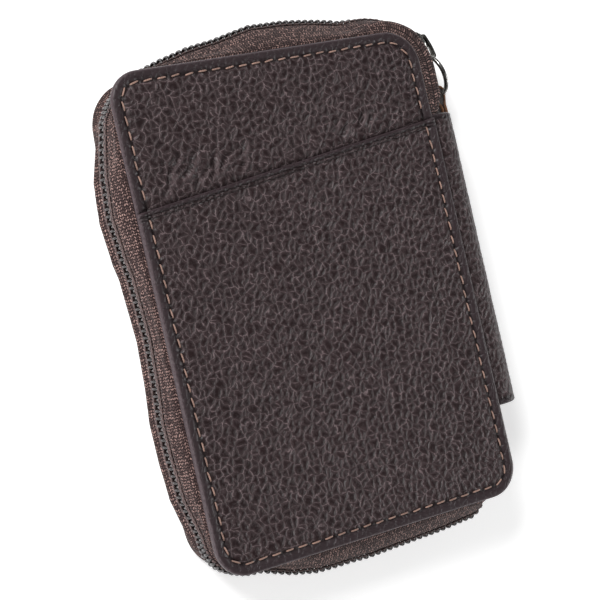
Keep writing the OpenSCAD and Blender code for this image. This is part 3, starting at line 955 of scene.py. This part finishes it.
def make_coil_sewing(name, front, body):
    """Two rows of chain stitches that hold the coil to its tape."""
    V, F, tint, twist = [], [], [], []
    base = 0
    rnd = random.Random(21 if front else 22)
    for row, (zo, ph, wdt) in enumerate(((1.75, 0.0, 0.24), (2.3, 0.5, 0.22))):
        s = 2.6 + ph * COIL_PITCH
        while s < RUN - 3:
            if ARC0 + 7.0 < s < ARC0 + 9.8:
                s += COIL_PITCH
                continue
            pts = []
            for t in np.linspace(-1, 1, 6):
                ss = s + t * 0.86
                x, y, nx, ny = run_point(ss)
                z = ZMID + (zo + 0.2 * t) * (1 if front else -1)
                off = bow(ss) - tuck(ss) + 0.16 + 0.16 * (1 - t * t) - (0.1 if row else 0.0)
                pts.append((x + nx * off, y + ny * off, z))
            v, f = tube(pts, [wdt * (1 - 0.35 * abs(t)) for t in np.linspace(-1, 1, 6)], 6, 1.0)
            V.append(v)
            F += [[q + base for q in ff] for ff in f]
            base += len(v)
            tint += [rnd.random()] * len(v)
            twist += [j * 0.4 + k / 6 for j in range(6) for k in range(6)]
            s += COIL_PITCH
    o = outward(add_object(name, np.vstack(V), F, {"tint": tint, "twist": twist}))
    return finish(o, SEW, body, "zip_tape")


# ---------------------------------------------------------------- spine wrap
SPINE_P = [(36.6, 16.62), (37.6, 16.78), (38.4, 16.95), (39.4, 17.08), (40.6, 17.05), (41.8, 16.75), (42.9, 16.15), (43.8, 15.3), (44.55, 14.2),
           (45.1, 13.0), (45.5, 11.7), (45.75, 10.3), (45.85, 8.95)]


def make_spine(name, upper, bodies, nodes):
    prof, vv = profile_table(SPINE_P, 0.35)
    d = np.gradient(prof, axis=0)
    nrm = np.stack([-d[:, 1], d[:, 0]], 1)
    nrm /= np.linalg.norm(nrm, axis=1)[:, None]
    th = 1.05
    low_end = SPINE_B - 1.6
    L = SPINE_T - low_end
    ys = list(np.concatenate([[0, 0.03, 0.1, 0.22, 0.4, 0.65, 1.0, 1.4, 1.8], np.arange(2.4, L - 2.3, 0.6), L - np.array([1.8, 1.4, 1.0, 0.65, 0.4, 0.22, 0.1, 0.03, 0])]))
    V, ins, pc = [], [], []
    n = len(prof)
    for yy in ys:
        e = min(yy, L - yy)
        drop = -0.55 * max(0, 1 - e / 0.5) ** 2
        drop -= 0.0 if e > 3 else 0.04 * math.exp(-((e - 2.2) / 0.3) ** 2)
        for i in range(n):
            y = low_end + yy
            lump = 0.10 * noise3(prof[i][0], y, prof[i][1], 0.12, 12) * min(1, e / 3)
            V.append((prof[i][0] + nrm[i][0] * (drop + lump), y, prof[i][1] + nrm[i][1] * (drop + lump)))
            ins.append(e + 1.25)
            pc.append((140 + vv[i] * (1 if upper else -1), y, 0))
        for i in reversed(range(n)):
            V.append((prof[i][0] - nrm[i][0] * th, low_end + yy, prof[i][1] - nrm[i][1] * th))
            # the inner face's small inset also gives it part of the rim's painted highlight
            ins.append(0.5)
            pc.append((160 + vv[i], low_end + yy, 0))
    k = 2 * n
    F = []
    for i in range(len(ys) - 1):
        for j in range(k):
            j2 = (j + 1) % k
            F.append((i * k + j, i * k + j2, (i + 1) * k + j2, (i + 1) * k + j))
    F.append([j for j in reversed(range(k))])
    F.append([(len(ys) - 1) * k + j for j in range(k)])
    V = np.array(V)
    if not upper:
        V[:, 2] = 17.9 - V[:, 2]
    o = outward(add_object(name, V, F, {"inset": ins, "pc": pc, "shade": np.zeros(len(V))}))
    pebble(o, 0.09)
    o.data.materials.clear()
    o.data.materials.append(SPINE_LEATHER)
    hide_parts(*nodes)
    if upper:
        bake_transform(o, "spine", "front", (45.6 * MM, 0, 12.2 * MM), (41.0 * MM, 0, 17.0 * MM))
    else:
        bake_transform(o, "back", "spine", (41.0 * MM, 0, 0.9 * MM), (45.6 * MM, 0, 5.7 * MM))
    return o


def make_spine_lining(name, upper, bodies, nodes):
    p = [(36.4, 15.2), (38.2, 15.2), (39.8, 14.9), (41.2, 14.2), (42.3, 13.1), (43.0, 11.8), (43.3, 10.4), (43.4, 8.95)]
    prof, vv = profile_table(p, 0.5)
    d = np.gradient(prof, axis=0)
    nrm = np.stack([-d[:, 1], d[:, 0]], 1)
    nrm /= np.linalg.norm(nrm, axis=1)[:, None]
    ys = np.arange(SPINE_B + 0.6, SPINE_T - 0.5, 0.9)
    n = len(prof)
    V = []
    for y in ys:
        for i in range(n):
            w = 0.08 * noise3(prof[i][0], y, prof[i][1], 0.2, 14)
            V.append((prof[i][0] + nrm[i][0] * w, y, prof[i][1] + nrm[i][1] * w))
        for i in reversed(range(n)):
            V.append((prof[i][0] - nrm[i][0] * 0.45, y, prof[i][1] - nrm[i][1] * 0.45))
    k = 2 * n
    F = []
    for i in range(len(ys) - 1):
        for j in range(k):
            j2 = (j + 1) % k
            F.append((i * k + j, i * k + j2, (i + 1) * k + j2, (i + 1) * k + j))
    F.append([j for j in reversed(range(k))])
    F.append([(len(ys) - 1) * k + j for j in range(k)])
    V = np.array(V)
    if not upper:
        V[:, 2] = 17.9 - V[:, 2]
    o = outward(add_object(name, V, F))
    o.data.materials.append(LINING)
    if nodes:
        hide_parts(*nodes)
    if upper:
        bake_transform(o, "spine", "front", (43.4 * MM, 0, 12.2 * MM), (40.0 * MM, 0, 15.2 * MM))
    else:
        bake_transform(o, "back", "spine", (40.0 * MM, 0, 2.7 * MM), (43.4 * MM, 0, 5.7 * MM))
    return o


# ---------------------------------------------------------------- inside
def rect_panel(name, x0, x1, y0, y1, z0, t, mat, body, slot, node, r=3.0, up=1, round_low=False, attr=None):
    """Thin leather or cloth leaf with rounded rim, closed all round."""
    w, h = (x1 - x0) / 2, (y1 - y0) / 2
    cx, cy = (x0 + x1) / 2, (y0 + y1) / 2
    prof = [(0.0, -t * 0.45), (0.05, -t * 0.2), (0.16, -0.05), (0.35, 0.0), (0.9, 0.0), (1.3, -0.1), (1.55, -0.12), (1.8, -0.1), (2.2, 0.0), (3.2, 0.03)]
    v, f, d = panel(name, w, h, r, prof, lambda x, y, s: t + 0.06 * noise3(x + z0 * 9, y, 0, 0.06, 15) * min(1, s / 4),
                    ns=(60, 44, 6), floor_z=0.0, sub=2.2)
    v[:, 0] += cx
    v[:, 1] += cy
    v[:, 2] = z0 + v[:, 2] if up > 0 else z0 + t - v[:, 2]
    o = outward(add_object(name, v, f, {"inset": d, "edge": np.clip(1 - d / 0.25, 0, 1)}))
    return finish(o, mat, body, slot, node)


def straight_seam(runs, z, up, seed, pitch=2.7, length=1.95, rad=0.15):
    """Rows of small stitches between given points, lying on a face at height z."""
    rnd = random.Random(seed)
    parts, tint, twist = [], [], []
    for (x0, y0), (x1, y1) in runs:
        L = math.hypot(x1 - x0, y1 - y0)
        c, d = (x1 - x0) / L, (y1 - y0) / L
        for i in range(int(L / pitch)):
            m = (i + 0.5) * pitch
            pts = []
            skew = rnd.uniform(0.02, 0.09)
            for t in np.linspace(-1, 1, 7):
                q = m + t * length / 2
                lift = 0.13 * (1 - abs(t) ** 3) - 0.18 * abs(t) ** 6
                pts.append((x0 + c * q - d * skew * t, y0 + d * q + c * skew * t, z + up * lift))
            v, f = tube(pts, [rad * (1 - 0.5 * abs(t) ** 5) for t in np.linspace(-1, 1, 7)], 7)
            parts.append((v, f))
            tint += [rnd.random()] * len(v)
            twist += [j * 0.5 + k / 7 for j in range(7) for k in range(7)]
    V, F = join(parts)
    return outward(add_object("inner_seam_%d" % seed, V, F, {"tint": tint, "twist": twist}))


def make_inner_seams():
    b = 46.45
    for x, seed in ((29.45, 51),):
        runs = [((-x, 10.2), (-x, -b)), ((-x, -b), (x, -b)), ((x, -b), (x, 10.2))]
        finish(straight_seam(runs, 6.42, 1, seed), THREAD, "back", "thread")
    finish(straight_seam([((-29.45, 22.6), (-29.45, 13.0)), ((29.45, 13.0), (29.45, 22.6))], 5.12, 1, 52), THREAD, "back", "thread")
    finish(straight_seam([((-29.45, 34.6), (-29.45, 25.0)), ((29.45, 25.0), (29.45, 34.6))], 3.82, 1, 53), THREAD, "back", "thread")
    runs = [((-31.45, 18.3), (-31.45, -48.45)), ((-31.45, -48.45), (31.45, -48.45)), ((31.45, -48.45), (31.45, 18.3))]
    finish(straight_seam(runs, 13.38, -1, 54), THREAD, "front", "thread")


def make_inside():
    rect_panel("board_back", -33.4, 33.4, -50.4, 50.4, 1.22, 0.82, BOARD, "back", "board", "back_stiffener", r=4.4)
    rect_panel("board_front", -33.4, 33.4, -50.4, 50.4, 15.12, 0.82, BOARD, "front", "board", "front_stiffener", r=4.4)
    rect_panel("lining_back", -37.0, 37.0, -54.0, 54.0, 2.1, 0.6, LINING, "back", "lining", "back_lining", r=8)
    rect_panel("lining_front", -37.0, 37.0, -54.0, 54.0, 14.5, 0.6, LINING, "front", "lining", "front_lining", r=8, up=-1)
    rect_panel("card_leaf_rear", -31, 31, -48, 36, 2.75, 1.2, INNER, "back", "inner_leather", "card_slot_rear", r=2.5)
    rect_panel("card_leaf_middle", -31, 31, -48, 24, 4.05, 1.2, INNER, "back", "inner_leather", "card_slot_middle", r=2.5)
    rect_panel("card_leaf_front", -31, 31, -48, 12, 5.35, 1.2, INNER, "back", "inner_leather", "card_slot_front", r=2.5)
    rect_panel("slip_pocket_leaf", -33, 33, -50, 20, 13.25, 1.2, INNER, "front", "inner_leather", "front_slip_pocket", r=3, up=-1)


# ---------------------------------------------------------------- slider, ring, tab
SL = 22.0


def round_at(t, r, z):
    a = math.radians(t)
    return np.array([CR + r * math.cos(a), CT + r * math.sin(a), z])


def section(n, hw_, hh, k=4.0):
    """Superellipse section, half sizes hw_ by hh."""
    out = []
    for i in range(n):
        a = 2 * math.pi * (i + 0.5) / n
        c, d = math.cos(a), math.sin(a)
        out.append((hw_ * math.copysign(abs(c) ** (2 / k), c), hh * math.copysign(abs(d) ** (2 / k), d)))
    return out


def loft(rings):
    V = np.vstack(rings)
    n = len(rings[0])
    F = []
    for i in range(len(rings) - 1):
        for j in range(n):
            j2 = (j + 1) % n
            F.append((i * n + j, i * n + j2, (i + 1) * n + j2, (i + 1) * n + j))
    F.append([j for j in reversed(range(n))])
    F.append([(len(rings) - 1) * n + j for j in range(n)])
    return V, F


def arc_bar(t0, t1, r_of, w_of, half_t, zc=0.0, steps=28, n=28, k=5.0, end=1.4):
    """A bar bent round the corner: r_of(u), w_of(u) along it, its ends rounded off."""
    rings = []
    us = np.concatenate([[0, 0.008, 0.025, 0.05], np.linspace(0.09, 0.91, steps), [0.95, 0.975, 0.992, 1]])
    for u in us:
        t = t0 + (t1 - t0) * u
        L = abs(math.radians(t1 - t0)) * 15
        e = min(u, 1 - u) * L
        q = math.sqrt(max(0.0, 1 - max(0.0, 1 - e / end) ** 2))
        q2 = math.sqrt(max(0.0, 1 - max(0.0, 1 - e / 0.35) ** 2))
        w, h = w_of(u) * (0.35 + 0.65 * q), half_t * (0.25 + 0.75 * q2)
        rings.append(np.array([round_at(t, r_of(u) + b_, ZMID + zc + a_) for a_, b_ in section(n, w, h, k)]))
    return loft(rings)


def join(parts):
    V, F, base = [], [], 0
    for v, f in parts:
        V.append(v)
        F += [[q + base for q in ff] for ff in f]
        base += len(v)
    return np.vstack(V), F


def make_slider():
    w = lambda u: 3.25 + 0.85 * sm(u, 0.35, 0.6)
    parts = [arc_bar(SL - 16, SL + 16, lambda u: 11.6, w, 0.55),
             arc_bar(SL - 16, SL + 16, lambda u: 15.55, w, 0.58)]
    for sg in (-1, 1):
        parts.append(arc_bar(SL - 6, SL + 12, lambda u: 12.45, lambda u: 0.32, 0.62, zc=sg * (3.62), steps=12, n=16, k=3.0, end=0.8))
        parts.append(arc_bar(SL - 6, SL + 12, lambda u: 14.75, lambda u: 0.32, 0.55, zc=sg * (3.62), steps=12, n=16, k=3.0, end=0.8))
    parts.append(arc_bar(SL + 9, SL + 15.5, lambda u: 13.6, lambda u: 0.95 * (0.35 + 0.65 * math.sin(math.pi * u)), 1.7, steps=12, n=20, k=6.0, end=0.9))
    parts.append(arc_bar(SL - 4.5, SL + 9.4, lambda u: 17.25, lambda u: 0.60, 1.22, steps=14, n=20, k=4.0, end=0.5))
    V, F = join(parts)
    finish(outward(add_object("slider_shell", V, F)), METAL, "slider", "dark_metal", "slider_body")
    path = []
    for u in np.linspace(0, 1, 44):
        t = SL - 15 + 24.5 * u
        r = 16.0 + 2.72 * sm(u, 0.0, 0.16) * (1 - sm(u, 0.82, 1.0)) + 0.16 * math.sin(math.pi * u)
        path.append(round_at(t, r, ZMID))
    P = np.array(path)
    T = np.gradient(P, axis=0)
    T /= np.linalg.norm(T, axis=1)[:, None]
    rings = []
    for i, (p_, t_) in enumerate(zip(P, T)):
        u = i / (len(P) - 1)
        nrm = np.cross(t_, np.array([0, 0, 1.0]))
        hw_ = 0.72 + 0.34 * abs(2 * u - 1) ** 2
        rings.append(np.array([p_ + np.array([0, 0, 1.0]) * a_ + nrm * b_ for a_, b_ in section(20, hw_, 0.40, 3.2)]))
    V, F = loft(rings)
    finish(outward(add_object("slider_bail", V, F)), METAL, "slider", "dark_metal", "slider_bridge")


def rot_z(a):
    c, d = math.cos(math.radians(a)), math.sin(math.radians(a))
    return np.array([[c, -d, 0], [d, c, 0], [0, 0, 1.0]])


def rot_y(a):
    c, d = math.cos(math.radians(a)), math.sin(math.radians(a))
    return np.array([[c, 0, d], [0, 1, 0], [-d, 0, c]])


def rot_x(a):
    c, d = math.cos(math.radians(a)), math.sin(math.radians(a))
    return np.array([[1, 0, 0], [0, c, -d], [0, d, c]])


RING_ROOT = round_at(SL - 9.5, 17.25, ZMID)
RING_M = rot_z(-90 + 16) @ rot_y(24) @ rot_x(90)
RING_END = RING_ROOT + np.array([10 * math.cos(math.radians(24)) * math.sin(math.radians(16)),
                                 -10 * math.cos(math.radians(24)) * math.cos(math.radians(16)), -10 * math.sin(math.radians(24))])
TAB_M = rot_z(-93)


def make_ring():
    pts = []
    gap = 0.022
    for u in np.linspace(gap, 2 * math.pi - gap, 120):
        a = u
        rr = 5.0 + 0.03 * math.sin(3 * a)
        pts.append((5 + rr * math.cos(a), rr * math.sin(a), 0.02 * math.sin(2 * a)))
    P = np.array(pts)
    rad = [0.53 * (0.82 + 0.18 * min(1.0, min(i, 119 - i) / 2.0)) for i in range(120)]
    V, F = tube(P, rad, 18, 1.0)
    V = V @ RING_M.T + RING_ROOT
    finish(outward(add_object("wire_ring", V, F)), METAL, "ring", "dark_metal", "pull_ring")


def make_tab():
    """One strip of leather led through the ring, folded and sewn to itself, its raw edges left showing."""
    half_loop = 1.68
    path = []
    for x in np.concatenate([[21.98, 21.9, 21.7], np.arange(21.3, 4.2, -0.5)]):
        path.append((x, 0.51))
    for u in np.linspace(0, 1, 8)[1:]:
        x = 4.0 - 3.3 * u
        path.append((x, 0.51 + (1.5 - 0.51) * sm(u, 0, 1)))
    a0 = math.atan2(1.5, 0.7)
    for a in np.linspace(a0, 2 * math.pi - a0, 26)[1:-1]:
        path.append((half_loop * math.cos(a), half_loop * math.sin(a)))
    low = [(x, -y) for x, y in path[:3 + len(np.arange(21.3, 4.2, -0.5)) + 7]][::-1]
    path += low
    P = np.array([(x, y, 0) for x, y in path], float)
    n = len(P)
    T = np.gradient(P, axis=0)
    T /= np.linalg.norm(T, axis=1)[:, None]
    prof = []
    for v in np.linspace(-1, 1, 15):
        prof.append((v, 1))
    for v in np.linspace(1, -1, 15):
        prof.append((v, -1))
    rings, edge, ed = [], [], []
    for i in range(n):
        x = P[i][0]
        wide = sm(x, 0.8, 4.6)
        up = 1.08 + (2.40 - 1.08) * wide + 0.2 * sm(x, 4.6, 18) - 0.75 * sm(x, 20.3, 22.0)
        dn = 1.08 + (2.55 - 1.08) * wide + 0.3 * sm(x, 4.6, 18) - 0.75 * sm(x, 20.3, 22.0)
        th = 0.30 + 0.14 * sm(x, 1.0, 4.0)
        nrm = np.array([-T[i][1], T[i][0], 0])
        ring = []
        for v, sgn in prof:
            z = v * (up if v > 0 else dn)
            e = (1 - abs(v)) * up
            t_ = th * (1 if e > 0.35 else 0.62 + 0.38 * e / 0.35)
            wob = 0.05 * noise3(x * 0.6, z * 0.6, i * 0.02, 1.0, 31)
            ring.append(P[i] + nrm * (sgn * t_ + wob * 0.4) + np.array([0, 0, z + 0.06 * noise3(x, 0, 0, 0.9, 33)]))
            ed.append(1.0 if abs(v) > 0.9 else 0.0)
        rings.append(np.array(ring))
    V, F = loft(rings)
    ed = np.array(ed)
    ed[:30] = 1.0
    ed[-30:] = 1.0
    V = V @ TAB_M.T + RING_END
    finish(outward(add_object("folded_tab", V, F, {"edge": ed})), TAB, "tab", "tab_leather", "pull_tab")
    parts, tint, twist = [], [], []
    rnd = random.Random(5)
    for i in range(5):
        for sg in (-1, 1):
            for row in (0.0,):
                x0 = 5.2 + 3.2 * i
                pts = []
                for t in np.linspace(-1, 1, 9):
                    pts.append((x0 + 1.05 + t * 1.12, sg * (0.98 + 0.14 * (1 - abs(t) ** 3) - 0.16 * abs(t) ** 6), row + 0.05 * rnd.uniform(-1, 1) + 0.08 * t))
                v, f = tube(np.array(pts), [0.17 * (1 - 0.5 * abs(t) ** 5) for t in np.linspace(-1, 1, 9)], 8)
                parts.append((v @ TAB_M.T + RING_END, f))
                tint += [rnd.random()] * len(v)
                twist += [j * 0.5 + k / 8 for j in range(9) for k in range(8)]
    V, F = join(parts)
    finish(outward(add_object("tab_seam", V, F, {"tint": tint, "twist": twist})), THREAD, "tab", "thread", "pull_tab_stitching")


def make_stop(name, x0, x1, y0, y1, z0, z1, body, node):
    """A clamp of soft metal folded over the coil's end, two jaws with a waist between them."""
    parts = []
    for dx in (0.0,):
        rings = []
        for u in np.linspace(0, 1, 22):
            y = y0 + (y1 - y0) * u
            e = min(u, 1 - u) * (y1 - y0)
            q = math.sqrt(max(0.0, 1 - max(0.0, 1 - e / 0.4) ** 2))
            waist = 1 - 0.16 * math.exp(-((u - 0.5) / 0.16) ** 2)
            rings.append(np.array([((x0 + x1) / 2 + a_, y, (z0 + z1) / 2 + b_)
                                   for a_, b_ in section(24, (x1 - x0) / 2 * (0.45 + 0.55 * q) * waist, (z1 - z0) / 2 * (0.55 + 0.45 * q), 3.6)]))
        parts.append(loft(rings))
    V, F = join(parts)
    finish(outward(add_object(name, V, F)), METAL, body, "dark_metal", node)


def make_hardware():
    make_slider()
    make_ring()
    make_tab()
    make_stop("top_stop_back", XR - 1.6, XR + 0.8, SPINE_T - 1.6, SPINE_T, 6.2, 8.5, "back", "zip_top_stop_back")
    make_stop("top_stop_front", XR - 1.6, XR + 0.8, SPINE_T - 1.6, SPINE_T, 17.2 - 8.5, 17.2 - 6.2, "front", "zip_top_stop_front")
    make_stop("bottom_stop", XR - 1.8, XR + 0.9, SPINE_B + 1.4 - 2.2, SPINE_B + 1.4, 6.2, 10.6, "back", "zip_bottom_stop")


make_field()
make_pocket()
make_back()
make_seam("front_seam", True, "front", "front_stitching")
make_seam("back_seam", False, "back", "back_stitching")
make_tape("front_tape", True, "front", "front_zip_tape")
make_tape("back_tape", False, "back", "back_zip_tape")
make_coil("front_coil", True, "front", "front_zip_coil")
make_coil("back_coil", False, "back", "back_zip_coil")
make_coil_sewing("front_coil_sewing", True, "front")
make_coil_sewing("back_coil_sewing", False, "back")
make_spine("spine_wrap_upper", True, ("spine", "front"), ("spine_cover", "spine_margin_front"))
make_spine("spine_wrap_lower", False, ("back", "spine"), ("spine_margin_back",))
make_spine_lining("spine_lining_upper", True, ("spine", "front"), ("spine_lining",))
make_spine_lining("spine_lining_lower", False, ("back", "spine"), ())
make_inside()
make_inner_seams()
make_hardware()

# ---------------------------------------------------------------- stage
fl = add_object("floor_sheet", np.array([(-3000, -3000, -0.05), (3000, -3000, -0.05), (3000, 3000, -0.05), (-3000, 3000, -0.05)]), [(0, 1, 2, 3)])
fm, fnt, fb = mat_new("floor_white")
set_in(fb, **{"Base_Color": (0.92, 0.92, 0.92, 1), "Roughness": 0.8, "Specular_IOR_Level": 0.1,
                "Emission_Color": (1, 1, 1, 1), "Emission_Strength": 0.42})
fl.data.materials.append(fm)


def area(name, loc, target, size, power, color=(1, 1, 1)):
    l = bpy.data.lights.new(name, "AREA")
    l.shape = "RECTANGLE"
    l.size, l.size_y = size
    l.energy = power
    l.color = color
    o = bpy.data.objects.new(name, l)
    bpy.context.scene.collection.objects.link(o)
    o.location = loc
    d = Vector(target) - Vector(loc)
    o.rotation_euler = d.to_track_quat("-Z", "Y").to_euler()
    return o


area("key", (-0.45, 0.60, 0.62), (0, 0, 0.01), (0.35, 0.35), 8.5)
area("far_side", (0.95, -0.35, 0.34), (0, 0, 0.01), (0.5, 0.3), 5.0)
area("low_left", (-0.85, -0.35, 0.26), (0, 0, 0.01), (0.5, 0.3), 5.0)
world = bpy.data.worlds.new("studio")
bpy.context.scene.world = world
world.use_nodes = True
world.node_tree.nodes["Background"].inputs[0].default_value = (1, 1, 1, 1)
world.node_tree.nodes["Background"].inputs[1].default_value = 0.22
bpy.context.scene.view_settings.view_transform = "Standard"

# ---------------------------------------------------------------- camera
yaw, pitch, roll = (math.radians(a) for a in (24.735, 0.600, 12.929))
tx, ty, D = 5.1717, 1.7867, 320.266
Ry = np.array([[math.cos(yaw), 0, math.sin(yaw)], [0, 1, 0], [-math.sin(yaw), 0, math.cos(yaw)]])
Rx = np.array([[1, 0, 0], [0, math.cos(pitch), -math.sin(pitch)], [0, math.sin(pitch), math.cos(pitch)]])
Rz = np.array([[math.cos(roll), -math.sin(roll), 0], [math.sin(roll), math.cos(roll), 0], [0, 0, 1]])
Rm = Rz @ Rx @ Ry
eye = Rm.T @ np.array([-tx, -ty, D]) + np.array([0, 0, FACE_Z])
cam_data = bpy.data.cameras.new("view_camera")
cam_data.sensor_width = 36
cam_data.lens = 36 * 1450 / 600
cam_data.clip_start = 0.01
cam_data.clip_end = 20
cam = bpy.data.objects.new("view_camera", cam_data)
bpy.context.scene.collection.objects.link(cam)
M = Matrix.Identity(4)
for r in range(3):
    for c in range(3):
        M[r][c] = Rm.T[r, c]
    M[r][3] = eye[r] * MM
cam.matrix_world = M
bpy.context.scene.camera = cam

bpy.context.view_layer.update()
